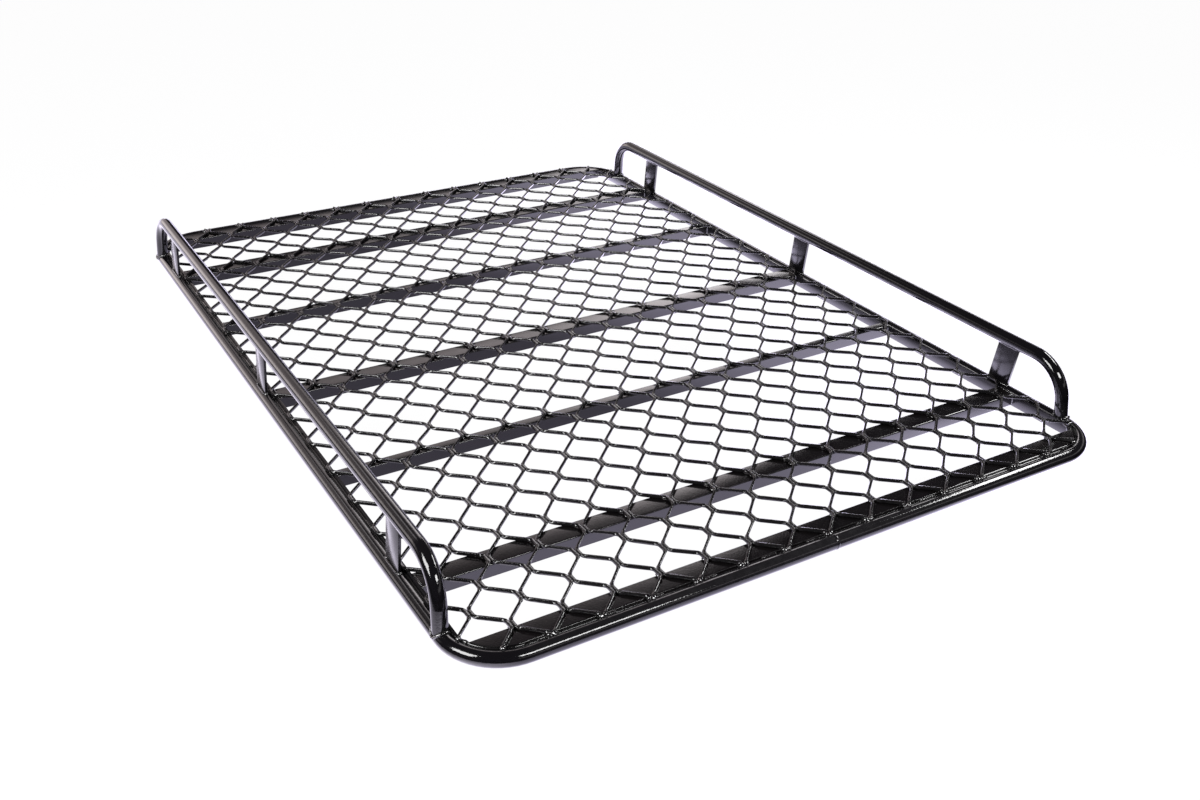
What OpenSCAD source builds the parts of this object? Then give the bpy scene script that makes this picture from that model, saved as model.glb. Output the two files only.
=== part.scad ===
// Flat welded cargo tray: a bent tube ring, cross bars and an expanded metal floor,
// with a low tube rail along each long side.
// Millimetres. X runs across the tray, Y along it, Z up.
// The origin is the centre of the footprint, on the underside of the ring.

/* [Ring] */
// Overall width of the ring, across the tray
ring_width = 1310; // [1200:10:1400]
// Overall length of the ring, front to rear
ring_length = 1850; // [1840:10:2000]
// Outer diameter of the ring and rail tube
tube_d = 25.4; // [25:0.1:27]
// Wall thickness of the ring and rail tube
tube_wall = 1.6; // [1.2:0.1:2.5]
// Centreline bend radius of the two front corners
front_corner_r = 95; // [90:5:115]
// Centreline bend radius of the two rear corners
rear_corner_r = 112; // [95:1:120]
// Distance of the two butt seams from the centreline, towards the right
seam_x = 6; // [-20:1:20]
// Diameter of the drain hole in each ring half
drain_d = 4; // [3:0.5:6]
// Distance of the drain holes either side of their middle
drain_spread = 506; // [400:2:520]
// Distance that the middle of the drain holes is shifted to the right
drain_shift = 14; // [-20:1:20]

/* [Bars] */
// Height of the bars and side strips
bar_h = 25; // [20:0.5:25]
// Width of the wide bars: the front, first, middle, last and rear ones
wide_bar_w = 40; // [30:1:45]
// Width of the two narrow bars
narrow_bar_w = 20; // [15:1:30]
// Wall thickness of the bars
bar_wall = 2; // [1.5:0.1:3]
// Outer corner radius of the bars
bar_edge_r = 2.5; // [2:0.1:2.9]
// Thickness of the side strips
strip_t = 5; // [4:0.5:8]
// Middle of the first cross bar, nearest the front
crossbar_1_y = -691; // [-700:1:-680]
// Middle of the second cross bar
crossbar_2_y = -343; // [-360:1:-330]
// Middle of the third cross bar
crossbar_3_y = -14; // [-30:1:30]
// Middle of the fourth cross bar
crossbar_4_y = 341; // [330:1:360]
// Middle of the fifth cross bar, nearest the rear
crossbar_5_y = 653; // [640:1:680]

/* [Mesh floor] */
// Spacing of the mesh joints across the tray
mesh_pitch_x = 84.7; // [75:0.1:95]
// Spacing of the mesh joints along the tray
mesh_pitch_y = 106; // [95:0.5:115]
// Width of one strand
strand_w = 3; // [2:0.1:5]
// Thickness of the floor
mesh_t = 4.5; // [3:0.1:6]
// Straight length of the joint between two cells
joint_l = 10; // [6:1:16]
// Shift of the mesh pattern across the tray
mesh_shift_x = 0.7; // [-20:0.1:20]
// Shift of the mesh pattern along the tray
mesh_shift_y = -11.6; // [-20:0.1:20]
// Length by which the strand ends reach over the ring tube
mesh_reach = 3.5; // [1:0.5:5]

/* [Side rails] */
// Height of the rail's centreline above the ring's centreline
rail_rise = 110.8; // [100:0.2:140]
// Angle by which the rails lean inwards
rail_lean = 3.5; // [0:0.5:6]
// Centreline bend radius of the rail's ends
rail_bend_r = 75; // [60:5:75]
// Angle by which the rail's legs spread outwards, from square to the ring
leg_splay = 8; // [0:1:12]
// Middle of the front leg where it meets the ring
front_leg_y = -816; // [-816:1:-780]
// Middle of the rear leg where it meets the ring
rear_leg_y = 803; // [760:1:803]

/* [Posts] */
// Width of a post
post_w = 50; // [40:1:60]
// Thickness of a post
post_t = 5; // [4:0.5:8]
// Foot of the front post on the left rail
left_front_post_y = -640; // [-660:1:-600]
// Foot of the middle post on the left rail
left_middle_post_y = 17; // [-30:1:30]
// Foot of the rear post on the left rail
left_rear_post_y = 667; // [600:1:680]
// Foot of the front post on the right rail
right_front_post_y = -652; // [-660:1:-600]
// Foot of the middle post on the right rail
right_middle_post_y = -10; // [-30:1:30]
// Foot of the rear post on the right rail
right_rear_post_y = 638; // [600:1:680]
// Distance by which the tops of the left posts stand forward of their feet
left_post_rake = 3; // [0:1:30]
// Distance by which the tops of the right posts stand forward of their feet
right_post_rake = 21; // [0:1:30]

/* [Hidden] */

$fn = 64;
coat = "#1b1a1c";
tube_r = tube_d / 2;
bore_r = tube_r - tube_wall;
// Half width and half length of the ring's centreline
half_w = ring_width / 2 - tube_r;
half_l = ring_length / 2 - tube_r;
// Inner face of the ring tube, at its centre height
inner_w = half_w - tube_r;
inner_l = half_l - tube_r;
strip_face_x = inner_w - strip_t;
// Clearance between parts that touch a round tube
touch = 0.2;
// Width of the gap that a seam's weld fills, and the bead's height and half width
seam_gap = 2;
bead_h = 0.6;
bead_half_w = 2.5;
// Height above the ring's centreline at which a leg's saddle cut ends
leg_start = 4;
// Length by which a leg runs up into its bend, and how far its wall steps inside the bend's
leg_overlap = 1;
leg_step = 0.05;
// Angle of each end bend of a rail and its drop, and the length of the leg below it
bend_angle = 90 - leg_splay;
bend_drop = rail_bend_r * (1 - cos(bend_angle));
leg_length = (rail_rise - bend_drop - leg_start) / cos(leg_splay);
// Reach of a bend and its leg along the ring, down to the ring's centreline
end_reach = rail_bend_r * sin(bend_angle) + (rail_rise - bend_drop) * tan(leg_splay);
// Straight run of the rail, to a whole millimetre, and its middle
rail_straight = round(rear_leg_y - front_leg_y - 2 * end_reach);
rail_middle_y = (front_leg_y + rear_leg_y) / 2;
// Extra radius of the floor's corners, which keeps them clear of loose strand ends
corner_trim = 5;
// Angle of the drain holes, outwards and down
drain_angle = 45;
// How far a cutting shape runs past what it cuts
over = 5;

// Cross section of the tube, its wall thinned on both sides by the given step
module tube_section(step = 0) {
    difference() {
        circle(r = tube_r - step);
        circle(r = bore_r + step);
    }
}

// Straight tube along +Z from the origin
module straight_tube(length, step = 0) {
    linear_extrude(height = length) tube_section(step);
}

// Tube bent about the Z axis, from the +X side through the given angle
module bent_tube(bend_r, angle) {
    rotate_extrude(angle = angle, $fn = 128) translate([bend_r, 0]) tube_section();
}

// Right half of the ring, centred on z = 0
module ring_half(start_x) {
    front_start = half_w - front_corner_r;
    rear_start = half_w - rear_corner_r;
    // Front run, its bend, the long side, the rear bend and the rear run
    translate([start_x, -half_l, 0]) rotate([0, 90, 0]) straight_tube(front_start - start_x);
    translate([front_start, front_corner_r - half_l, 0]) rotate([0, 0, -90]) bent_tube(front_corner_r, 90);
    translate([half_w, front_corner_r - half_l, 0]) rotate([-90, 0, 0])
        straight_tube(2 * half_l - front_corner_r - rear_corner_r);
    translate([rear_start, half_l - rear_corner_r, 0]) bent_tube(rear_corner_r, 90);
    translate([start_x, half_l, 0]) rotate([0, 90, 0]) straight_tube(rear_start - start_x);
}

// Drain hole through the lower outer wall of the front run
module drain_hole(x) {
    translate([x, -half_l, 0]) rotate([90 + drain_angle, 0, 0])
        cylinder(d = drain_d, h = tube_r + over);
}

module ring_right() {
    color(coat) translate([0, 0, tube_r]) difference() {
        ring_half(seam_x + seam_gap / 2);
        drain_hole(drain_shift + drain_spread);
    }
}

module ring_left() {
    color(coat) translate([0, 0, tube_r]) difference() {
        mirror([1, 0, 0]) ring_half(seam_gap / 2 - seam_x);
        drain_hole(drain_shift - drain_spread);
    }
}

// Weld metal that fills a butt seam and stands proud round the tube
module seam_bead() {
    root = seam_gap / 2;
    rotate([0, 90, 0]) rotate_extrude() polygon([
        [bore_r, -root], [tube_r, -root], [tube_r, -bead_half_w], [tube_r + bead_h, -root],
        [tube_r + bead_h, root], [tube_r, bead_half_w], [tube_r, root], [bore_r, root],
    ]);
}

// The beads are dressed flush with the underside
module seam_beads() {
    color(coat) intersection() {
        for (y = [-half_l, half_l]) translate([seam_x, y, tube_r]) seam_bead();
        translate([seam_x - tube_d, -ring_length, 0]) cube([2 * tube_d, 2 * ring_length, 2 * tube_d]);
    }
}

// What lies outside the ring's inner curve at one corner, for a corner at +X and +Y
module outside_corner(corner_r) {
    inner_r = corner_r - tube_r - touch;
    translate([half_w - corner_r, half_l - corner_r, -over]) linear_extrude(height = bar_h + 2 * over)
        difference() {
            square(corner_r);
            circle(r = inner_r, $fn = 128);
        }
}

module outside_corners() {
    for (side = [0, 1]) mirror([side, 0, 0]) {
        outside_corner(rear_corner_r);
        mirror([0, 1, 0]) outside_corner(front_corner_r);
    }
}

module side_strip() {
    color(coat) difference() {
        translate([strip_face_x, -inner_l, 0]) cube([strip_t - touch, 2 * inner_l, bar_h]);
        outside_corners();
    }
}

module side_strip_left() {
    mirror([1, 0, 0]) side_strip();
}

module side_strip_right() {
    side_strip();
}

// Rectangle with rounded corners, centred
module rounded_rect(w, h, r) {
    square([w - 2 * r, h], center = true);
    square([w, h - 2 * r], center = true);
    for (x = [-1, 1], y = [-1, 1]) translate([x * (w / 2 - r), y * (h / 2 - r)]) circle(r = r, $fn = 32);
}

// Box section bar along X, standing on z = 0, from -reach to +reach
module box_bar(w, reach) {
    translate([-reach, 0, bar_h / 2]) rotate([90, 0, 90]) linear_extrude(height = 2 * reach)
        difference() {
            rounded_rect(w, bar_h, bar_edge_r);
            square([w - 2 * bar_wall, bar_h - 2 * bar_wall], center = true);
        }
}

// Bar laid against the inside of the ring, with its ends cut to the corner bends
module end_bar(side) {
    color(coat) difference() {
        translate([0, side * (inner_l - touch - wide_bar_w / 2), 0]) box_bar(wide_bar_w, inner_w);
        outside_corners();
    }
}

module bar_front() {
    end_bar(-1);
}

module bar_rear() {
    end_bar(1);
}

module crossbar(y, w) {
    color(coat) translate([0, y, 0]) box_bar(w, strip_face_x);
}

module crossbar_1() {
    crossbar(crossbar_1_y, wide_bar_w);
}

module crossbar_2() {
    crossbar(crossbar_2_y, narrow_bar_w);
}

module crossbar_3() {
    crossbar(crossbar_3_y, wide_bar_w);
}

module crossbar_4() {
    crossbar(crossbar_4_y, narrow_bar_w);
}

module crossbar_5() {
    crossbar(crossbar_5_y, wide_bar_w);
}

// Opening between four joints of the mesh, centred
module mesh_cell() {
    half_x = mesh_pitch_x / 2;
    half_y = mesh_pitch_y / 2;
    across = half_x - 2 * strand_w;
    along = half_y - joint_l;
    root = sqrt(across * across + along * along - strand_w * strand_w);
    slope = (along * across - strand_w * root) / (across * across - strand_w * strand_w);
    side_x = half_x - strand_w;
    side_y = joint_l / 2;
    tip_y = side_y + slope * side_x;
    polygon([
        [0, tip_y], [side_x, side_y], [side_x, -side_y],
        [0, -tip_y], [-side_x, -side_y], [-side_x, side_y],
    ]);
}

// Outline of the floor: the ring's inner curve grown by the reach of the strand ends, with fuller corners
module floor_outline() {
    x = inner_w + mesh_reach;
    y = inner_l + mesh_reach;
    front_r = front_corner_r - tube_r + mesh_reach + corner_trim;
    rear_r = rear_corner_r - tube_r + mesh_reach + corner_trim;
    difference() {
        square([2 * x, 2 * y], center = true);
        for (side = [-1, 1]) {
            translate([side * x, -y]) floor_corner(side, 1, front_r);
            translate([side * x, y]) floor_corner(side, -1, rear_r);
        }
    }
}

// What a rounded corner takes away, for a corner at the origin
module floor_corner(side_x, side_y, r) {
    difference() {
        translate([side_x > 0 ? -r : -over, side_y > 0 ? -over : -r]) square(r + over);
        translate([-side_x * r, side_y * r]) circle(r = r, $fn = 128);
    }
}

module mesh_floor() {
    columns = ceil(ring_width / mesh_pitch_x) + 1;
    rows = ceil(ring_length / mesh_pitch_y) + 1;
    color(coat) translate([0, 0, bar_h]) linear_extrude(height = mesh_t) difference() {
        floor_outline();
        for (i = [-columns : columns], j = [-rows : rows]) if ((i + j) % 2 == 0)
            translate([mesh_shift_x + i * mesh_pitch_x / 2, mesh_shift_y + j * mesh_pitch_y / 2]) mesh_cell();
    }
}

// Frame of the right rail: Z runs up the leaning rail from the ring's centreline
module rail_frame() {
    translate([half_w, 0, tube_r]) rotate([0, -rail_lean, 0]) children();
}

// The ring's outer surface along the right side, with the bends at its two ends
module side_surface() {
    straight = 2 * half_l - front_corner_r - rear_corner_r;
    translate([half_w, front_corner_r - half_l, tube_r]) rotate([-90, 0, 0]) cylinder(r = tube_r, h = straight);
}

// Bend from the rail's straight run towards +Y and down, and the leg that follows it
module rail_end() {
    translate([0, rail_straight / 2, rail_rise - rail_bend_r]) rotate([0, -90, 0]) {
        bent_tube(rail_bend_r, bend_angle);
        rotate([0, 0, bend_angle]) translate([rail_bend_r, -leg_overlap, 0]) rotate([-90, 0, 0])
            straight_tube(leg_length + leg_overlap, leg_step);
    }
}

module rail() {
    color(coat) difference() {
        rail_frame() translate([0, rail_middle_y, 0]) {
            translate([0, -rail_straight / 2, rail_rise]) rotate([-90, 0, 0]) straight_tube(rail_straight);
            rail_end();
            mirror([0, 1, 0]) rail_end();
        }
        side_surface();
    }
}

module rail_right() {
    rail();
}

module rail_left() {
    mirror([1, 0, 0]) rail();
}

// Flat post between the ring and the right rail, raked forwards
module post(foot_y, rake) {
    half = post_w / 2;
    color(coat) difference() {
        rail_frame() rotate([90, 0, 90]) translate([0, 0, -post_t / 2]) linear_extrude(height = post_t)
            polygon([
                [foot_y - half, 0], [foot_y + half, 0],
                [foot_y + half - rake, rail_rise], [foot_y - half - rake, rail_rise],
            ]);
        side_surface();
        rail_frame() translate([0, -half_l, rail_rise]) rotate([-90, 0, 0]) cylinder(r = tube_r, h = 2 * half_l);
    }
}

module post_left(foot_y) {
    mirror([1, 0, 0]) post(foot_y, left_post_rake);
}

module post_left_front() {
    post_left(left_front_post_y);
}

module post_left_middle() {
    post_left(left_middle_post_y);
}

module post_left_rear() {
    post_left(left_rear_post_y);
}

module post_right_front() {
    post(right_front_post_y, right_post_rake);
}

module post_right_middle() {
    post(right_middle_post_y, right_post_rake);
}

module post_right_rear() {
    post(right_rear_post_y, right_post_rake);
}

ring_left();
ring_right();
seam_beads();
side_strip_left();
side_strip_right();
bar_front();
bar_rear();
crossbar_1();
crossbar_2();
crossbar_3();
crossbar_4();
crossbar_5();
mesh_floor();
rail_left();
rail_right();
post_left_front();
post_left_middle();
post_left_rear();
post_right_front();
post_right_middle();
post_right_rear();
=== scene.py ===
"""Looks of the cargo tray: coats, expanded metal strands, weld beads, studio and camera."""
import math
import random

import bmesh
import bpy
import numpy as np
from mathutils import Matrix, Vector


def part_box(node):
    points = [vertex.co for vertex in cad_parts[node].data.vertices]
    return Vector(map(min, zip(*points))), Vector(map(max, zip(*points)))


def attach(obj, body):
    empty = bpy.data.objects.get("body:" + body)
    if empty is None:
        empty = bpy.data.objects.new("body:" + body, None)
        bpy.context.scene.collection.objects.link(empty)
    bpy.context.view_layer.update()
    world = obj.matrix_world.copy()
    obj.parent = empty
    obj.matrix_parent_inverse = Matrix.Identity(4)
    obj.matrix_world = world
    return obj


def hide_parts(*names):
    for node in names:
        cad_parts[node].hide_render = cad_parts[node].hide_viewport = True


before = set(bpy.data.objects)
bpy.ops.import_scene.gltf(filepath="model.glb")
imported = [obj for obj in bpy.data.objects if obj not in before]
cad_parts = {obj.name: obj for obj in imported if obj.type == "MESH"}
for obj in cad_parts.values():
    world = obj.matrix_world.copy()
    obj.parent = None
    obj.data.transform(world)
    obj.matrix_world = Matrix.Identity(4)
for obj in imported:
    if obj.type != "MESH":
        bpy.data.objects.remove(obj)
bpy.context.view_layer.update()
random.seed(7)

# ---------------------------------------------------------------- sizes from the frame, in metres
TUBE_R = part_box("ring_left")[1].z / 2
# Half the ring's width and length, along the middle of its tube
HALF_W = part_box("ring_right")[1].x - TUBE_R
HALF_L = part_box("ring_right")[1].y - TUBE_R
BAR_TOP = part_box("crossbar_1")[1].z
STRIP_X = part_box("side_strip_right")[0].x
# Radii of the ring's front and rear corners, measured the same way
FRONT_R, REAR_R = 0.095, 0.112

TUBES = ["ring_left", "ring_right", "rail_left", "rail_right", "seam_beads"]
CROSSBARS = ["crossbar_%d" % i for i in range(1, 6)]
END_BARS = ["bar_front", "bar_rear"]
STRIPS = ["side_strip_left", "side_strip_right"]
POSTS = ["post_%s_%s" % (a, b) for a in ("left", "right") for b in ("front", "middle", "rear")]


# ---------------------------------------------------------------- node helpers
def node(tree, kind, **settings):
    n = tree.nodes.new(kind)
    for key, value in settings.items():
        setattr(n, key, value)
    return n


def preset(n, values):
    """Sets default values of a node's inputs, by name or number."""
    for key, value in values.items():
        n.inputs[key].default_value = value
    return n


def link(tree, a, out, b, inp):
    tree.links.new(a.outputs[out], b.inputs[inp])


def ramp(tree, stops):
    n = tree.nodes.new("ShaderNodeValToRGB")
    elements = n.color_ramp.elements
    while len(elements) < len(stops):
        elements.new(0.5)
    for element, (position, colour) in zip(elements, stops):
        element.position = position
        element.color = (*colour, 1)
    return n


def noise(tree, coords, scale, detail, rough):
    n = preset(node(tree, "ShaderNodeTexNoise"),
               {"Scale": scale, "Detail": detail, "Roughness": rough})
    link(tree, coords, "Object", n, "Vector")
    return n


def combine(t, operation, first, *others):
    """One maths operation over the first outputs of several nodes."""
    for other in others:
        n = node(t, "ShaderNodeMath", operation=operation)
        t.links.new(first.outputs[0], n.inputs[0])
        t.links.new(other.outputs[0], n.inputs[1])
        first = n
    return first


# ---------------------------------------------------------------- coats
# Noise scales: slow tone, dust on edges, roughness, orange peel and grain
TONE_SCALE, DUST_SCALE, ROUGH_SCALE, PEEL_SCALE, GRAIN_SCALE = 7.0, 90.0, 40.0, 260.0, 480.0
PEEL_DEPTH, GRAIN_DEPTH = 0.0006, 0.0005
# Roughness of the smoothest and the roughest patches, as shares of the coat's own
SMOOTH_SHARE, ROUGH_SHARE = 0.75, 1.35
DUST_COLOUR = (0.10, 0.098, 0.10, 1)
BLACK, WHITE = (0, 0, 0), (1, 1, 1)
# Pointiness at which dust on a rounded part starts and is full
POINT_START, POINT_FULL = 0.53, 0.62
# Largest part of the normal at which dust on a box-shaped part is full and has ended
NORMAL_FULL, NORMAL_END = 0.86, 0.985


def edge_mask(t, boxy):
    """White along edges: by normal on box-shaped parts, whose flat faces have no inner vertices."""
    geo = node(t, "ShaderNodeNewGeometry")
    if not boxy:
        edge = ramp(t, [(POINT_START, BLACK), (POINT_FULL, WHITE)])
        link(t, geo, "Pointiness", edge, "Fac")
        return edge
    size = node(t, "ShaderNodeVectorMath", operation="ABSOLUTE")
    link(t, geo, "Normal", size, 0)
    parts = node(t, "ShaderNodeSeparateXYZ")
    link(t, size, "Vector", parts, "Vector")
    largest = parts
    for axis in ("Y", "Z"):
        larger = node(t, "ShaderNodeMath", operation="MAXIMUM")
        t.links.new(largest.outputs[0], larger.inputs[0])
        link(t, parts, axis, larger, 1)
        largest = larger
    edge = ramp(t, [(NORMAL_FULL, WHITE), (NORMAL_END, BLACK)])
    link(t, largest, "Value", edge, "Fac")
    return edge


def coat(name, dark, light, rough, peel, grain=0.0, worn=0.5, boxy=False, ior=1.5):
    """Gloss black coat: slow tone change, orange peel, fine grain and dust on edges."""
    m = bpy.data.materials.new(name)
    m.use_nodes = True
    t = m.node_tree
    t.nodes.clear()
    surface = preset(node(t, "ShaderNodeBsdfPrincipled"), {"IOR": ior})
    link(t, surface, "BSDF", node(t, "ShaderNodeOutputMaterial"), "Surface")
    coords = node(t, "ShaderNodeTexCoord")

    tone = ramp(t, [(0.3, dark), (0.75, light)])
    link(t, noise(t, coords, TONE_SCALE, 4.0, 0.6), "Fac", tone, "Fac")
    dust = combine(t, "MULTIPLY", edge_mask(t, boxy), noise(t, coords, DUST_SCALE, 3.0, 0.6))
    share = preset(node(t, "ShaderNodeMath", operation="MULTIPLY"), {1: worn})
    link(t, dust, "Value", share, 0)
    mix = preset(node(t, "ShaderNodeMix", data_type="RGBA"), {7: DUST_COLOUR})
    link(t, share, "Value", mix, "Factor")
    link(t, tone, "Color", mix, 6)
    link(t, mix, 2, surface, "Base Color")

    roughness = ramp(t, [(0.3, (rough * SMOOTH_SHARE,) * 3), (0.7, (rough * ROUGH_SHARE,) * 3)])
    link(t, noise(t, coords, ROUGH_SCALE, 3.0, 0.6), "Fac", roughness, "Fac")
    link(t, roughness, "Color", surface, "Roughness")

    bump = preset(node(t, "ShaderNodeBump"), {"Strength": peel, "Distance": PEEL_DEPTH})
    link(t, noise(t, coords, PEEL_SCALE, 2.0, 0.5), "Fac", bump, "Height")
    if grain:
        fine = preset(node(t, "ShaderNodeBump"), {"Strength": grain, "Distance": GRAIN_DEPTH})
        link(t, noise(t, coords, GRAIN_SCALE, 2.0, 0.6), "Fac", fine, "Height")
        link(t, bump, "Normal", fine, "Normal")
        bump = fine
    link(t, bump, "Normal", surface, "Normal")
    return m


TUBE_COAT = coat("tube_coat", (0.0026, 0.0024, 0.0030), (0.0046, 0.0042, 0.0050), 0.07,
                 peel=0.20, grain=0.12, worn=0.2)
BAR_COAT = coat("bar_coat", (0.0030, 0.0026, 0.0028), (0.0056, 0.0048, 0.0050), 0.10,
                peel=0.11, grain=0.15, worn=0.25, boxy=True)
FLAT_COAT = coat("flat_coat", (0.0030, 0.0027, 0.0033), (0.0054, 0.0048, 0.0058), 0.20,
                 peel=0.08, grain=0.05, worn=0.25, boxy=True)
STRAND_COAT = coat("strand_coat", (0.0022, 0.0020, 0.0022), (0.0046, 0.0040, 0.0044), 0.07,
                   peel=0.5, grain=0.18)
WELD_DARK, WELD_LIGHT = (0.0020, 0.0019, 0.0020), (0.0045, 0.0040, 0.0042)
WELD_COAT = coat("weld_coat", WELD_DARK, WELD_LIGHT, 0.06, peel=0.4, worn=0.2, ior=2.0)
BEAD_COAT = coat("bead_coat", WELD_DARK, WELD_LIGHT, 0.16, peel=0.12, worn=0.2)

# ---------------------------------------------------------------- CAD nodes that stay
MERGE_DISTANCE = 1e-6
BEVEL_ANGLE, SPLIT_ANGLE = math.radians(40), math.radians(38)
STRIP_BEVEL, POST_BEVEL = 0.0006, 0.0007


def dress(name, material, bevel=0.0):
    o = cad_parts[name]
    o.data.materials.clear()
    o.data.materials.append(material)
    for p in o.data.polygons:
        p.use_smooth = True
    merge = o.modifiers.new("merge", "WELD")
    merge.merge_threshold = MERGE_DISTANCE
    if bevel:
        edge = o.modifiers.new("edge", "BEVEL")
        edge.width = bevel
        edge.segments = 2
        edge.limit_method = "ANGLE"
        edge.angle_limit = BEVEL_ANGLE
    split = o.modifiers.new("split", "EDGE_SPLIT")
    split.split_angle = SPLIT_ANGLE


for name in TUBES:
    dress(name, TUBE_COAT)
for name in CROSSBARS + END_BARS:
    dress(name, BAR_COAT)
for name in STRIPS:
    dress(name, FLAT_COAT, STRIP_BEVEL)
for name in POSTS:
    dress(name, FLAT_COAT, POST_BEVEL)

# ---------------------------------------------------------------- mesh helpers
STRAND_SMOOTH, WELD_SMOOTH = math.radians(50), math.radians(80)


def make_object(name, verts, faces, material, smooth_angle=WELD_SMOOTH):
    """A piece on the tray's body, smooth but for edges sharper than smooth_angle."""
    me = bpy.data.meshes.new(name)
    me.from_pydata([tuple(v) for v in verts], [], faces)
    me.validate()
    bm = bmesh.new()
    bm.from_mesh(me)
    bmesh.ops.recalc_face_normals(bm, faces=bm.faces)
    for e in bm.edges:
        if len(e.link_faces) == 2 and e.calc_face_angle(0) > smooth_angle:
            e.smooth = False
    for f in bm.faces:
        f.smooth = True
    bm.to_mesh(me)
    bm.free()
    me.materials.append(material)
    o = bpy.data.objects.new(name, me)
    bpy.context.scene.collection.objects.link(o)
    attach(o, "root")
    return o


def sweep(verts, faces, path, frames, section, closed=False):
    """Skins a section along a path. frames gives (side, up) at each point, section its outline."""
    base = len(verts)
    n = len(path)
    k = len(section(0))
    for i, p in enumerate(path):
        side, up = frames[i]
        for a, b in section(i):
            verts.append(p + side * a + up * b)
    for i in range(n if closed else n - 1):
        j = (i + 1) % n
        for q in range(k):
            r = (q + 1) % k
            faces.append((base + i * k + q, base + i * k + r, base + j * k + r, base + j * k + q))
    if not closed:
        faces.append(tuple(base + q for q in range(k))[::-1])
        faces.append(tuple(base + (n - 1) * k + q for q in range(k)))


# ---------------------------------------------------------------- expanded metal floor
# Cell size, and the shift of the pattern from the tray's middle
PITCH_X, PITCH_Y = 0.0847, 0.106
SHIFT_X, SHIFT_Y = 0.0007, -0.0116
STRAND_WIDTH, STRAND_THICK = 0.0063, 0.0047
# Corner cut of the strand's section, and the share of it that the middle of the cut keeps
SECTION_CORNER, CORNER_SHARE = 0.0010, 0.35
# Length over which two strands lie together, and the gap that keeps them apart there
BOND, JOINT_GAP = 0.0200, 0.0002
# Slope of a strand's wide face where it crosses a cell, and where two strands join
CELL_TILT, BOND_TILT = math.radians(69), math.radians(-12)
# The twist starts this far before the end of a bond, and takes this length
TWIST_LEAD, TWIST_LENGTH = 0.0020, 0.0085
# Reach of the strand ends, short of the middle of the ring's tube
EDGE_X, EDGE_Y = HALF_W - 0.0092, HALF_L - 0.0100
# Depth to which the strands' lower edges sink into the bars
STRAND_SINK = 0.0003
STRAND_Z = (BAR_TOP + STRAND_WIDTH / 2 * math.sin(CELL_TILT)
            + STRAND_THICK / 2 * math.cos(CELL_TILT) - STRAND_SINK)
UNEVEN_X, UNEVEN_Y = 0.0008, 0.0012
# Length cut from a stretch at each bend, at most this share of the stretch
BEND_CUT, BEND_SHARE, BEND_STEPS = 0.0060, 0.48, 4
STRAND_STEP = 0.003
# Cosine and change of slope within which a stretch counts as straight and untwisted
STRAIGHT, UNTWISTED = 0.99999, 0.01
CROSSING_STEPS, SAME_POINT = 12, 1e-5
COLUMNS = math.ceil(2 * HALF_W / PITCH_X) + 1
ROWS = math.ceil(2 * HALF_L / PITCH_Y) + 1


def joint_place(column, row):
    return SHIFT_X + column * PITCH_X / 2, SHIFT_Y + row * PITCH_Y / 2


def inside(x, y):
    """Whether a point is within the outline that the strand ends reach."""
    r = (FRONT_R if y < 0 else REAR_R) - (HALF_W - EDGE_X)
    ax, ay = abs(x), abs(y)
    if ax > EDGE_X or ay > EDGE_Y:
        return False
    cx, cy = EDGE_X - r, EDGE_Y - r
    return not (ax > cx and ay > cy and (ax - cx) ** 2 + (ay - cy) ** 2 > r * r)


joint_shifts = {}


def joint_shift(column, row):
    """Small unevenness of the mesh, the same for both strands that meet at a joint."""
    if (column, row) not in joint_shifts:
        joint_shifts[column, row] = Vector((random.uniform(-UNEVEN_X, UNEVEN_X),
                                            random.uniform(-UNEVEN_Y, UNEVEN_Y), 0))
    return joint_shifts[column, row]


def strand_path(i):
    """Zigzag centreline of the strand between joint columns i and i + 1."""
    outward = Vector((math.cos(BOND_TILT), 0, math.sin(BOND_TILT)))
    half_bond = Vector((0, BOND / 2, 0))
    pts = []
    for row in range(-ROWS, ROWS + 1):
        column = i if (i + row) % 2 else i + 1
        sign = 1 if column == i else -1
        c = Vector((*joint_place(column, row), STRAND_Z))
        c += joint_shift(column, row)
        c += outward * (sign * (STRAND_WIDTH / 2 + JOINT_GAP))
        pts += [c - half_bond, c + half_bond]
    return pts


def rounded(pts, cut, steps):
    """Polyline with each corner replaced by a curve that starts a cut length before it."""
    out = [pts[0]]
    for a, b, c in zip(pts, pts[1:], pts[2:]):
        p = b + (a - b).normalized() * min(cut, (a - b).length * BEND_SHARE)
        q = b + (c - b).normalized() * min(cut, (c - b).length * BEND_SHARE)
        for s in range(steps + 1):
            t = s / steps
            out.append(p * (1 - t) ** 2 + b * 2 * t * (1 - t) + q * t * t)
    out.append(pts[-1])
    return out


def resampled(pts, step):
    out = [pts[0]]
    for a, b in zip(pts, pts[1:]):
        n = max(1, round((b - a).length / step))
        out += [a.lerp(b, k / n) for k in range(1, n + 1)]
    return out


def tilt_at(y):
    """The strand twists from the slope of the joint to the slope of the cell at each bend."""
    row = (y - SHIFT_Y) / (PITCH_Y / 2)
    reach = abs(row - round(row)) * PITCH_Y / 2
    t = min(1, max(0, (reach - BOND / 2 + TWIST_LEAD) / TWIST_LENGTH))
    return BOND_TILT + (CELL_TILT - BOND_TILT) * t * t * (3 - 2 * t)


def thinned(path):
    """Leaves out the points of straight stretches on which the strand doesn't twist."""
    out = [path[0]]
    for a, b, c in zip(path, path[1:], path[2:]):
        straight = (b - a).normalized().dot((c - b).normalized()) > STRAIGHT
        if not straight or abs(tilt_at(c.y) - tilt_at(a.y)) > UNTWISTED:
            out.append(b)
    return out + [path[-1]]


def crossing(inner, outer):
    """The last inside point of the stretch from an inside point to an outside one."""
    for _ in range(CROSSING_STEPS):
        mid = (inner + outer) / 2
        inner, outer = (mid, outer) if inside(mid.x, mid.y) else (inner, mid)
    return inner


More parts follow.
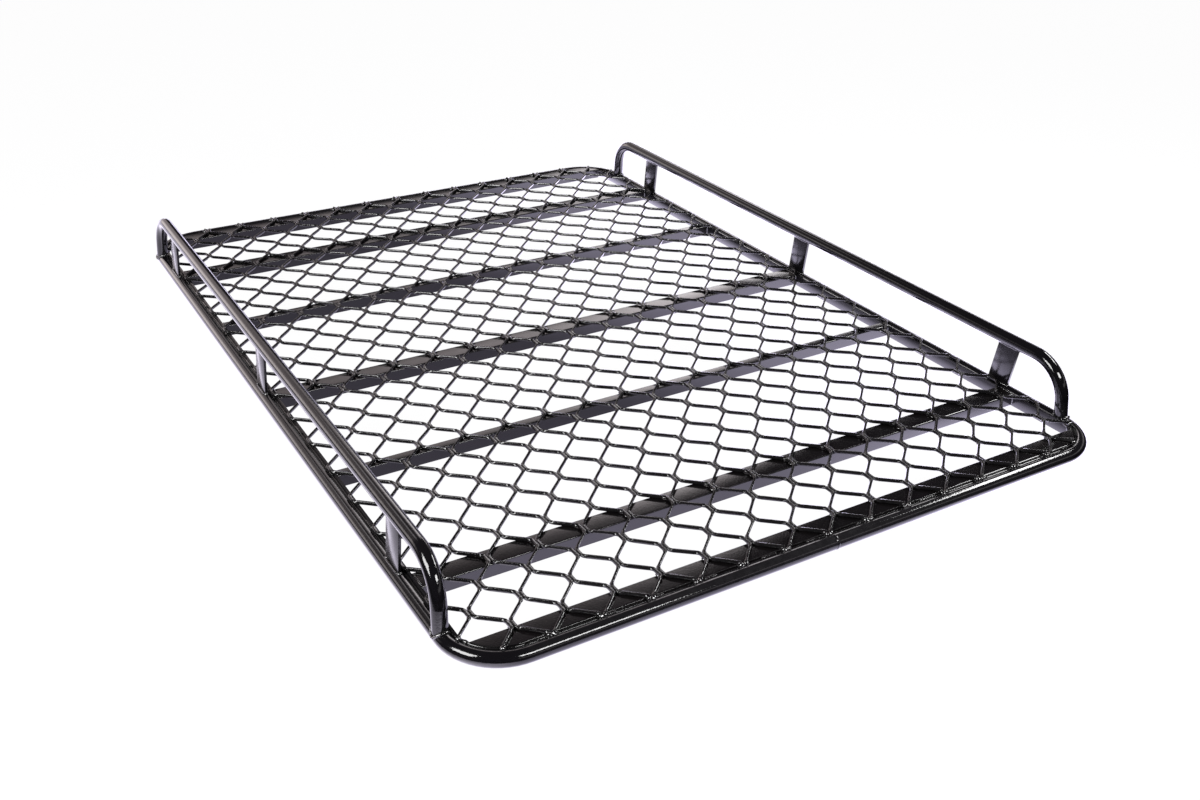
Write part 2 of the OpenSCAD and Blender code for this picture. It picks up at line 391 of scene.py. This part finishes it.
def clipped(path, ends):
    """Runs of a strand within the outline. Each of their ends goes into ends, with its way out."""
    runs, run = [], []
    for a, b in zip(path, path[1:]):
        a_in, b_in = inside(a.x, a.y), inside(b.x, b.y)
        if a_in and not run:
            run = [a]
        if a_in and b_in:
            run.append(b)
        elif b_in:
            start = crossing(b, a)
            ends.append((start, (start - b).normalized()))
            run = [start, b]
        elif a_in:
            run.append(crossing(a, b))
            ends.append((run[-1], (run[-1] - run[-2]).normalized()))
            if len(run) > 2:
                runs.append(run)
            run = []
    return runs


def strand_frames(path):
    frames = []
    for k, p in enumerate(path):
        d = (path[min(k + 1, len(path) - 1)] - path[max(k - 1, 0)]).normalized()
        tilt = tilt_at(p.y)
        wide = Vector((math.cos(tilt), 0, math.sin(tilt)))
        wide = (wide - d * wide.dot(d)).normalized()
        frames.append((wide, d.cross(wide).normalized()))
    return frames


def strand_section(k):
    w, t, c = STRAND_WIDTH / 2, STRAND_THICK / 2, SECTION_CORNER
    s = c * CORNER_SHARE
    return [
        (w - c, -t), (w - s, -t + s), (w, -t + c), (w, t - c), (w - s, t - s), (w - c, t),
        (-w + c, t), (-w + s, t - s), (-w, t - c), (-w, -t + c), (-w + s, -t + s), (-w + c, -t),
    ]


strand_ends = []
verts, faces = [], []
for i in range(-COLUMNS, COLUMNS):
    path = thinned(resampled(rounded(strand_path(i), BEND_CUT, BEND_STEPS), STRAND_STEP))
    for run in clipped(path, strand_ends):
        run = [p for k, p in enumerate(run) if k == 0 or (p - run[k - 1]).length > SAME_POINT]
        sweep(verts, faces, run, strand_frames(run), strand_section)
strands = make_object("mesh_strands", verts, faces, STRAND_COAT, STRAND_SMOOTH)
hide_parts("mesh_floor")

# ---------------------------------------------------------------- weld beads
BLOB_RINGS, BLOB_SIDES, BEAD_SIDES = 7, 12, 10
# Largest unevenness of a bead from one ring of points to the next
BEAD_UNEVEN = 0.08
# Size of an open bead's first ring of points, as a share, and its growth per ring
BEAD_TIP, BEAD_GROWTH = 0.35, 0.3


def blob(verts, faces, centre, radii, spin, rough):
    """Lump of weld metal: a squashed ball with an uneven surface."""
    base = len(verts)
    turn = Matrix.Rotation(spin, 3, "Z")
    for a in range(1, BLOB_RINGS):
        th = math.pi * a / BLOB_RINGS
        for b in range(BLOB_SIDES):
            ph = 2 * math.pi * b / BLOB_SIDES
            k = 1 + random.uniform(-rough, rough)
            v = Vector((math.sin(th) * math.cos(ph) * radii[0],
                        math.sin(th) * math.sin(ph) * radii[1], math.cos(th) * radii[2])) * k
            verts.append(centre + turn @ v)
    verts.append(centre + Vector((0, 0, radii[2])))
    verts.append(centre - Vector((0, 0, radii[2])))
    top, bottom = len(verts) - 2, len(verts) - 1
    last = base + (BLOB_RINGS - 2) * BLOB_SIDES
    for b in range(BLOB_SIDES):
        c = (b + 1) % BLOB_SIDES
        for ring in range(base, last, BLOB_SIDES):
            below = ring + BLOB_SIDES
            faces.append((ring + b, below + b, below + c, ring + c))
        faces.append((top, base + b, base + c))
        faces.append((bottom, last + c, last + b))


def bead(verts, faces, path, radius, closed=False, ripple=0.18, pitch=0.0035):
    """Weld bead along a path, with the ripples that the puddle leaves."""
    path = [Vector(p) for p in path]
    if closed:
        path = resampled(path + [path[0]], pitch / 3)[:-1]
    else:
        path = resampled(path, pitch / 3)
    n = len(path)
    frames, radii = [], []
    distance = 0.0
    uneven = min(BEAD_UNEVEN, ripple)
    for k in range(n):
        before = path[k - 1] if (closed or k) else path[0]
        after = path[(k + 1) % n] if (closed or k < n - 1) else path[-1]
        d = (after - before).normalized()
        upright = Vector((0, 0, 1)) if abs(d.z) < 0.9 else Vector((1, 0, 0))
        side = d.cross(upright).normalized()
        frames.append((side, side.cross(d).normalized()))
        distance += (path[k] - path[k - 1]).length if k else 0
        scale = 1 + ripple * math.sin(2 * math.pi * distance / pitch)
        scale += random.uniform(-uneven, uneven)
        if not closed:
            scale *= min(1, BEAD_TIP + min(k, n - 1 - k) * BEAD_GROWTH)
        radii.append(radius * scale)

    def section(k):
        turns = [2 * math.pi * q / BEAD_SIDES for q in range(BEAD_SIDES)]
        return [(math.cos(a) * radii[k], math.sin(a) * radii[k]) for a in turns]

    sweep(verts, faces, path, frames, section, closed)


# Strand ends on the ring: each ends in a lump on the tube's shoulder
END_LUMP_RADII = ((0.0048, 0.0066), (0.0036, 0.0050), (0.0040, 0.0054))
END_LUMP_Z, END_LUMP_OUT, END_LUMP_ROUGH = BAR_TOP - 0.0010, 0.0006, 0.20
verts, faces = [], []
for p, d in strand_ends:
    out = Vector((d.x, d.y, 0)).normalized()
    c = Vector((p.x, p.y, END_LUMP_Z)) + out * END_LUMP_OUT
    radii = [random.uniform(*limits) for limits in END_LUMP_RADII]
    blob(verts, faces, c, radii, math.atan2(out.y, out.x), END_LUMP_ROUGH)
make_object("welds_strand_ends", verts, faces, WELD_COAT)

# Tacks where a bond of the mesh lies on a bar, most of them on the left of the bond
TACK_REACH, TACK_INSET, TACK_SHIFT = 0.004, 0.003, 0.003
TACK_MIDDLE, TACK_SIDE, TACK_LEFT_SHARE = -0.0012, 0.0022, 0.75
TACK_WIDTH, TACK_LENGTHS, TACK_HEIGHT, TACK_ROUGH = 0.0036, (0.004, 0.006), 0.0022, 0.14
verts, faces = [], []
for name in CROSSBARS + END_BARS:
    lo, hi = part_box(name)
    for i in range(-COLUMNS, COLUMNS + 1):
        for j in range(-ROWS, ROWS + 1):
            x, y = joint_place(i, j)
            if (i + j) % 2 == 0 or not inside(x, y) or abs(x) > STRIP_X:
                continue
            if lo.y - TACK_REACH < y < hi.y + TACK_REACH:
                y = min(max(y, lo.y + TACK_INSET), hi.y - TACK_INSET)
                side = -1 if random.random() < TACK_LEFT_SHARE else 1
                c = Vector((x + TACK_MIDDLE + side * TACK_SIDE,
                            y + random.uniform(-TACK_SHIFT, TACK_SHIFT), BAR_TOP))
                radii = (TACK_WIDTH, random.uniform(*TACK_LENGTHS), TACK_HEIGHT)
                blob(verts, faces, c, radii, 0, TACK_ROUGH)
make_object("welds_bonds", verts, faces, WELD_COAT)

# Ends of the cross bars on the side strips: a bead over the top and one down each side
BAR_WELD_X = STRIP_X - 0.0006
BAR_WELD_TOP_R, BAR_WELD_SIDE_R = 0.0021, 0.0019
BAR_WELD_INSET, BAR_WELD_OUT = 0.003, 0.0002
BAR_WELD_LOW, BAR_WELD_HIGH = 0.003, BAR_TOP - 0.002
verts, faces = [], []
for name in CROSSBARS:
    lo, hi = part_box(name)
    for s in (-1, 1):
        x = s * BAR_WELD_X
        bead(verts, faces, [(x, lo.y + BAR_WELD_INSET, BAR_TOP),
                            (x, hi.y - BAR_WELD_INSET, BAR_TOP)], BAR_WELD_TOP_R)
        for y in (lo.y - BAR_WELD_OUT, hi.y + BAR_WELD_OUT):
            bead(verts, faces, [(x, y, BAR_WELD_LOW), (x, y, BAR_WELD_HIGH)], BAR_WELD_SIDE_R)
make_object("welds_bars", verts, faces, WELD_COAT)

# Root run in the groove between the ring and what lies against it, with a fuller run round the
# inside of each corner and a lump of weld in it
ROOT_Z, ROOT_R = BAR_TOP - 0.0058, 0.0022
ROOT_RIPPLE = {"ripple": 0.012, "pitch": 0.005}
ROOT_OUT = 0.0010
CORNER_GAP, CORNER_RISE, CORNER_FULLNESS = 0.0008, 0.001, 1.15
CORNER_STEPS, CORNER_STEP = 30, 3
LUMP_FRONT, LUMP_REAR = math.radians(26), math.radians(24)
LUMP_DROP, LUMP_RADII, LUMP_ROUGH = 0.003, (0.0045, 0.0095, 0.0085), 0.10


def corner_point(end, side, corner_r, angle, z):
    """Point against the inside of a corner of the ring. end and side are -1 or 1."""
    inner_r = corner_r - TUBE_R - CORNER_GAP
    return Vector((side * (HALF_W - corner_r + inner_r * math.cos(angle)),
                   end * (HALF_L - corner_r + inner_r * math.sin(angle)), z))


verts, faces = [], []
for s in (-1, 1):
    corner_r = FRONT_R if s < 0 else REAR_R
    lump = LUMP_FRONT if s < 0 else LUMP_REAR
    end_x = HALF_W - corner_r
    y = s * (HALF_L - TUBE_R + ROOT_OUT)
    bead(verts, faces, [(-end_x, y, ROOT_Z), (end_x, y, ROOT_Z)], ROOT_R, **ROOT_RIPPLE)
    x = s * (HALF_W - TUBE_R + ROOT_OUT)
    bead(verts, faces, [(x, FRONT_R - HALF_L, ROOT_Z), (x, HALF_L - REAR_R, ROOT_Z)], ROOT_R,
         **ROOT_RIPPLE)
    for side in (-1, 1):
        arc = [corner_point(s, side, corner_r, math.radians(CORNER_STEP * k), ROOT_Z + CORNER_RISE)
               for k in range(CORNER_STEPS + 1)]
        bead(verts, faces, arc, ROOT_R * CORNER_FULLNESS, **ROOT_RIPPLE)
        blob(verts, faces, corner_point(s, side, corner_r, lump, ROOT_Z - LUMP_DROP), LUMP_RADII,
             side * s * lump, LUMP_ROUGH)
make_object("welds_root", verts, faces, BEAD_COAT)

# Stitches that hold the end bars and side strips to the ring, laid over the root run
STITCH_Z, STITCH_OUT, STITCH_RIPPLE = BAR_TOP - 0.0035, 0.0012, 0.05
BAR_STITCH_R, BAR_STITCHES, BAR_STITCH_GAPS = 0.0026, (0.022, 0.04), (0.05, 0.10)
BAR_STITCH_START, BAR_STITCH_END = -0.53, 0.53
STRIP_STITCH_R, STRIP_STITCHES, STRIP_STITCH_GAPS = 0.0024, (0.022, 0.035), (0.09, 0.16)
STRIP_STITCH_START, STRIP_STITCH_END = -0.78, 0.76
verts, faces = [], []
for s in (-1, 1):
    y = s * (HALF_L - TUBE_R + STITCH_OUT)
    x = BAR_STITCH_START
    while x < BAR_STITCH_END:
        length = random.uniform(*BAR_STITCHES)
        bead(verts, faces, [(x, y, STITCH_Z), (x + length, y, STITCH_Z)], BAR_STITCH_R,
             ripple=STITCH_RIPPLE)
        x += length + random.uniform(*BAR_STITCH_GAPS)
for s in (-1, 1):
    x = s * (HALF_W - TUBE_R + STITCH_OUT)
    y = STRIP_STITCH_START
    while y < STRIP_STITCH_END:
        length = random.uniform(*STRIP_STITCHES)
        bead(verts, faces, [(x, y, STITCH_Z), (x, y + length, STITCH_Z)], STRIP_STITCH_R,
             ripple=STITCH_RIPPLE)
        y += length + random.uniform(*STRIP_STITCH_GAPS)
make_object("welds_ring", verts, faces, BEAD_COAT)

# Feet of the rail legs: a bead along the saddle where the leg meets the ring
LEG_FRONT_Y, LEG_REAR_Y = -0.816, 0.803
LEG_LEAN, LEG_SPLAY = math.radians(3.5), math.radians(8)
SADDLE_STEPS, SADDLE_LEAST, SADDLE_LIFT, SADDLE_FULLNESS = 48, 0.0035, 0.0006, 1.05
LEG_WELD_R, LEG_WELD_RIPPLE, LEG_WELD_PITCH = 0.0024, 0.22, 0.004
verts, faces = [], []
for s in (-1, 1):
    for leg_y, way in ((LEG_FRONT_Y, 1), (LEG_REAR_Y, -1)):
        pts = []
        for k in range(SADDLE_STEPS):
            a = 2 * math.pi * k / SADDLE_STEPS
            x, y = math.cos(a) * TUBE_R, math.sin(a) * TUBE_R
            # Height of the ring's surface over its middle, below this point of the leg
            up = max(math.sqrt(max(TUBE_R ** 2 - x ** 2, 0)), SADDLE_LEAST)
            pts.append((s * HALF_W + x * SADDLE_FULLNESS - s * up * math.sin(LEG_LEAN),
                        leg_y + y * SADDLE_FULLNESS + way * up * math.tan(LEG_SPLAY),
                        TUBE_R + up + SADDLE_LIFT))
        bead(verts, faces, pts, LEG_WELD_R, closed=True, ripple=LEG_WELD_RIPPLE,
             pitch=LEG_WELD_PITCH)
make_object("welds_legs", verts, faces, WELD_COAT)

# Feet and tops of the posts: a bead along each face and a lump at each edge
POST_END, POST_WELD_OUT, POST_WELD_INSET = 0.006, 0.0008, 0.002
POST_WELD_R, POST_WELD_RIPPLE = 0.0020, 0.2
POST_LUMP_RADII, POST_LUMP_ROUGH = (0.0042, 0.0035, 0.0030), 0.12
verts, faces = [], []
for name in POSTS:
    points = np.array([v.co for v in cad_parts[name].data.vertices])
    x, y, z = points.T
    for end in (z < z.min() + POST_END, z > z.max() - POST_END):
        x0, x1, y0, y1 = x[end].min(), x[end].max(), y[end].min(), y[end].max()
        weld_z = z[end].mean()
        for face_x in (x0 - POST_WELD_OUT, x1 + POST_WELD_OUT):
            bead(verts, faces, [(face_x, y0 + POST_WELD_INSET, weld_z),
                                (face_x, y1 - POST_WELD_INSET, weld_z)], POST_WELD_R,
                 ripple=POST_WELD_RIPPLE)
        for edge_y in (y0, y1):
            blob(verts, faces, Vector(((x0 + x1) / 2, edge_y, weld_z)), POST_LUMP_RADII, 0,
                 POST_LUMP_ROUGH)
make_object("welds_posts", verts, faces, WELD_COAT)

# ---------------------------------------------------------------- floor
FLOOR_Z, FLOOR_HALF = -0.16, 30.0
# What the camera sees of the floor: a dull base and an even glow on it
FLOOR_BASE, FLOOR_GLOW = (0.06, 0.059, 0.062, 1), 0.965
# Colour of the light and shade painted into the floor's glow for reflections, at the left and
# elsewhere
LEFT_PAINTED_LIGHT_COLOUR, MAIN_PAINTED_LIGHT_COLOUR = (1.0, 0.94, 1.12, 1), (1.0, 0.935, 1.22, 1)


def along(t, coords, out, x, y):
    """Distance along a level direction."""
    n = preset(node(t, "ShaderNodeVectorMath", operation="DOT_PRODUCT"), {1: (x, y, 0)})
    link(t, coords, out, n, 0)
    return n


def step(t, source, lo, hi, low=0.0, high=1.0):
    """Smooth step of a distance, from low at lo to high at hi."""
    n = preset(node(t, "ShaderNodeMapRange", interpolation_type="SMOOTHSTEP"),
               {"From Min": lo, "From Max": hi, "To Min": low, "To Max": high})
    link(t, source, "Value", n, "Value")
    return n


def by_ray(t, others, others_out, camera, camera_out, output):
    """Shows the camera one shader and all other rays another."""
    mix = node(t, "ShaderNodeMixShader")
    link(t, node(t, "ShaderNodeLightPath"), "Is Camera Ray", mix, 0)
    link(t, others, others_out, mix, 1)
    link(t, camera, camera_out, mix, 2)
    link(t, mix, "Shader", node(t, output), "Surface")


def floor_with_painted_light():
    """Pale to the camera. Reflections see light and shade painted into a lavender glow: a painted
    pool of light to the right, painted shade under the tray, and soft ends.
    """
    m = bpy.data.materials.new("studio_floor_painted_light")
    m.use_nodes = True
    t = m.node_tree
    t.nodes.clear()
    coords = node(t, "ShaderNodeTexCoord")
    x, y = along(t, coords, "Object", 1, 0), along(t, coords, "Object", 0, 1)
    # Painted light: a pool of light on the floor that grows brighter towards the right
    right = combine(t, "MULTIPLY", step(t, x, 0.05, 0.75, 0.80, 4.2),
                    step(t, y, -1.15, -0.85, 0.8, 1.0))
    # Painted light in front of the tray that fades to nothing beneath it: the tray's painted shadow
    front = combine(t, "MULTIPLY", step(t, y, -0.95, -0.68, 1.25, 0.0),
                    step(t, x, 0, 0.75, 1.0, 0.0))
    # Painted light on the floor at the left
    left = combine(t, "MULTIPLY", step(t, x, -0.78, -0.52, 2.1, 0.0),
                   step(t, x, -0.86, -0.76, 0.45))
    level = combine(t, "ADD", right, front, left)
    # Soft ends of the painted light, beyond which the floor's glow fades away
    ends = combine(t, "MULTIPLY", step(t, y, -1.60, -1.15),
                   step(t, along(t, coords, "Object", -0.65, 1), -1.71, -1.27),
                   step(t, along(t, coords, "Object", 1, 0.25), -1.6, -1.1),
                   step(t, x, 1.2, 2.2, 1.0, 0.35))
    colour = preset(node(t, "ShaderNodeMix", data_type="RGBA"), {6: LEFT_PAINTED_LIGHT_COLOUR, 7: MAIN_PAINTED_LIGHT_COLOUR})
    link(t, step(t, x, -0.75, -0.45), "Result", colour, "Factor")
    # Emission that paints the floor's light and shade, seen only in reflections
    glow = node(t, "ShaderNodeEmission")
    link(t, colour, 2, glow, "Color")
    link(t, combine(t, "MULTIPLY", level, ends), "Value", glow, "Strength")
    seen = preset(node(t, "ShaderNodeBsdfPrincipled"), {
        "Base Color": FLOOR_BASE, "Roughness": 1.0, "Specular IOR Level": 0.0,
        "Emission Color": (1, 1, 1, 1), "Emission Strength": FLOOR_GLOW,
    })
    by_ray(t, glow, "Emission", seen, "BSDF", "ShaderNodeOutputMaterial")
    return m


# ---------------------------------------------------------------- world
ROOM_COLOUR = (0.04, 0.036, 0.045)
# Azimuths are from straight back, positive to the left, and run this far to either side
AZIMUTH_END = 60
# Glows on the walls: name, levels by azimuth, levels by elevation, both in degrees, and colour
GLOWS = [
    ("patch",
     [(-40, 0), (-37.5, 0.6), (-35, 1), (-32, 0.7), (-28, 0.3), (-22, 0.1), (-15, 0)],
     [(17, 0), (20.5, 0.45), (24, 0.9), (27, 1), (30, 0.7), (34, 0.15), (38, 0.05), (44, 0)],
     (4.3, 4.0, 4.1)),
    ("right_wall",
     [(-40, 0), (-33, 0.35), (-25, 0.8), (-12, 0.8), (-6, 0)],
     [(20, 0), (21.5, 0.2), (24, 0.7), (27, 1), (31, 1), (34, 0.45), (38, 0.14), (46, 0)],
     (1.25, 1.10, 1.10)),
    ("left_wall",
     [(-12, 0), (-6, 0.85), (20, 1), (27, 0.75), (32, 0.4), (37, 0.1), (45, 0)],
     [(0, 1), (15, 1), (22, 0.95), (28, 0.75), (33, 0.5), (38, 0.28), (50, 0)],
     (1.25, 1.08, 1.08)),
    ("low_patch",
     [(-60, 0.2), (-52, 0.8), (-44, 1), (-36, 0.8), (-31, 0.4), (-28, 0)],
     [(12, 0), (15, 0.6), (19, 1), (21.5, 0.6), (23.4, 0)],
     (5.0, 4.8, 4.9)),
    ("left_band",
     [(5, 0), (15, 0.7), (25, 1), (38, 1), (50, 0.3), (60, 0)],
     [(0, 0.3), (5, 0.8), (11, 1), (17, 0.6), (23, 0)],
     (3.0, 2.75, 2.7)),
    ("high_wall",
     [(-1, 0), (3, 0.8), (7, 1), (12, 0.6), (18, 0)],
     [(33, 0), (37, 0.9), (43, 1), (48, 0.3), (52, 0)],
     (2.0, 1.9, 1.95)),
]


def levels(t, source, out, stops):
    """Piecewise linear function of a socket, as a grey ramp."""
    n = ramp(t, [(position, (level,) * 3) for position, level in stops])
    link(t, source, out, n, "Fac")
    return n


def studio_world():
    """Dark room with glows on its walls, for reflections. The camera sees plain white."""
    world = bpy.data.worlds.new("studio_world")
    bpy.context.scene.world = world
    world.use_nodes = True
    t = world.node_tree
    t.nodes.clear()
    coords = node(t, "ShaderNodeTexCoord")
    direction = node(t, "ShaderNodeSeparateXYZ")
    link(t, coords, "Generated", direction, "Vector")
    azimuth = node(t, "ShaderNodeMath", operation="ARCTAN2")
    link(t, along(t, coords, "Generated", -1, 0), "Value", azimuth, 0)
    link(t, direction, "Y", azimuth, 1)
    turn = preset(node(t, "ShaderNodeMapRange"), {"From Min": math.radians(-AZIMUTH_END),
                                                  "From Max": math.radians(AZIMUTH_END)})
    link(t, azimuth, "Value", turn, "Value")

    room = preset(node(t, "ShaderNodeVectorMath", operation="ADD"), {0: ROOM_COLOUR})
    for name, by_azimuth, by_elevation, colour in GLOWS:
        a = levels(t, turn, "Result",
                   [((d + AZIMUTH_END) / (2 * AZIMUTH_END), v) for d, v in by_azimuth])
        e = levels(t, direction, "Z", [(math.sin(math.radians(d)), v) for d, v in by_elevation])
        glow = preset(node(t, "ShaderNodeVectorMath", operation="SCALE", label=name), {0: colour})
        link(t, combine(t, "MULTIPLY", a, e), "Value", glow, "Scale")
        total = node(t, "ShaderNodeVectorMath", operation="ADD")
        link(t, room, "Vector", total, 0)
        link(t, glow, "Vector", total, 1)
        room = total
    reflected = node(t, "ShaderNodeBackground")
    link(t, room, "Vector", reflected, "Color")
    pale = preset(node(t, "ShaderNodeBackground"), {"Color": (1, 1, 1, 1)})
    by_ray(t, reflected, "Background", pale, "Background", "ShaderNodeOutputWorld")


# ---------------------------------------------------------------- lights and camera
# Area lights: name, place, size across and size along, and radiance
LIGHTS = [
    ("key_right", (2.09, -0.67, 1.78), 1.35, 0.36, 24.0),
    ("key_rear", (0.21, -2.59, 1.70), 1.15, 0.50, 22.0),
    ("key_left", (-2.50, -0.80, 1.77), 1.40, 1.20, 18.0),
]
LIGHT_TARGET = (0, 0, 0.05)
CAMERA_PLACE = (-1.1769, -2.1362, 1.1751)
CAMERA_AZIMUTH, CAMERA_ELEVATION, CAMERA_ROLL = (math.radians(a) for a in (-31.07, 28.72, 0.97))
SENSOR_MM, LENS_MM, CLIP_END = 36.0, 37.4448, 100


def area(name, place, size_x, size_y, radiance):
    d = bpy.data.lights.new(name, "AREA")
    d.shape = "RECTANGLE"
    d.size, d.size_y = size_x, size_y
    d.energy = radiance * math.pi * size_x * size_y
    o = bpy.data.objects.new(name, d)
    bpy.context.scene.collection.objects.link(o)
    o.location = place
    direction = Vector(LIGHT_TARGET) - Vector(place)
    o.rotation_euler = direction.to_track_quat("-Z", "Y").to_euler()
    o.visible_camera = False


def studio():
    me = bpy.data.meshes.new("studio_floor")
    half = FLOOR_HALF
    me.from_pydata([(-half, -half, FLOOR_Z), (half, -half, FLOOR_Z), (half, half, FLOOR_Z),
                    (-half, half, FLOOR_Z)], [], [(0, 1, 2, 3)])
    floor = bpy.data.objects.new("studio_floor", me)
    bpy.context.scene.collection.objects.link(floor)
    me.materials.append(floor_with_painted_light())
    studio_world()
    for light in LIGHTS:
        area(*light)


def camera():
    level = math.cos(CAMERA_ELEVATION)
    back = Vector((math.sin(CAMERA_AZIMUTH) * level, -math.cos(CAMERA_AZIMUTH) * level,
                   math.sin(CAMERA_ELEVATION)))
    right = (-back).cross(Vector((0, 0, 1))).normalized()
    up = right.cross(-back)
    c, s = math.cos(CAMERA_ROLL), math.sin(CAMERA_ROLL)
    right, up = right * c + up * s, up * c - right * s
    m = Matrix((right, up, back)).transposed().to_4x4()
    m.translation = Vector(CAMERA_PLACE)
    d = bpy.data.cameras.new("camera")
    d.sensor_width = SENSOR_MM
    d.lens = LENS_MM
    d.clip_end = CLIP_END
    o = bpy.data.objects.new("camera", d)
    bpy.context.scene.collection.objects.link(o)
    o.matrix_world = m
    bpy.context.scene.camera = o


studio()
camera()
scene = bpy.context.scene
scene.view_settings.view_transform = "Standard"
scene.view_settings.look = "None"
scene.view_settings.exposure = 0.0
scene.view_settings.gamma = 1.0

bpy.context.view_layer.update()
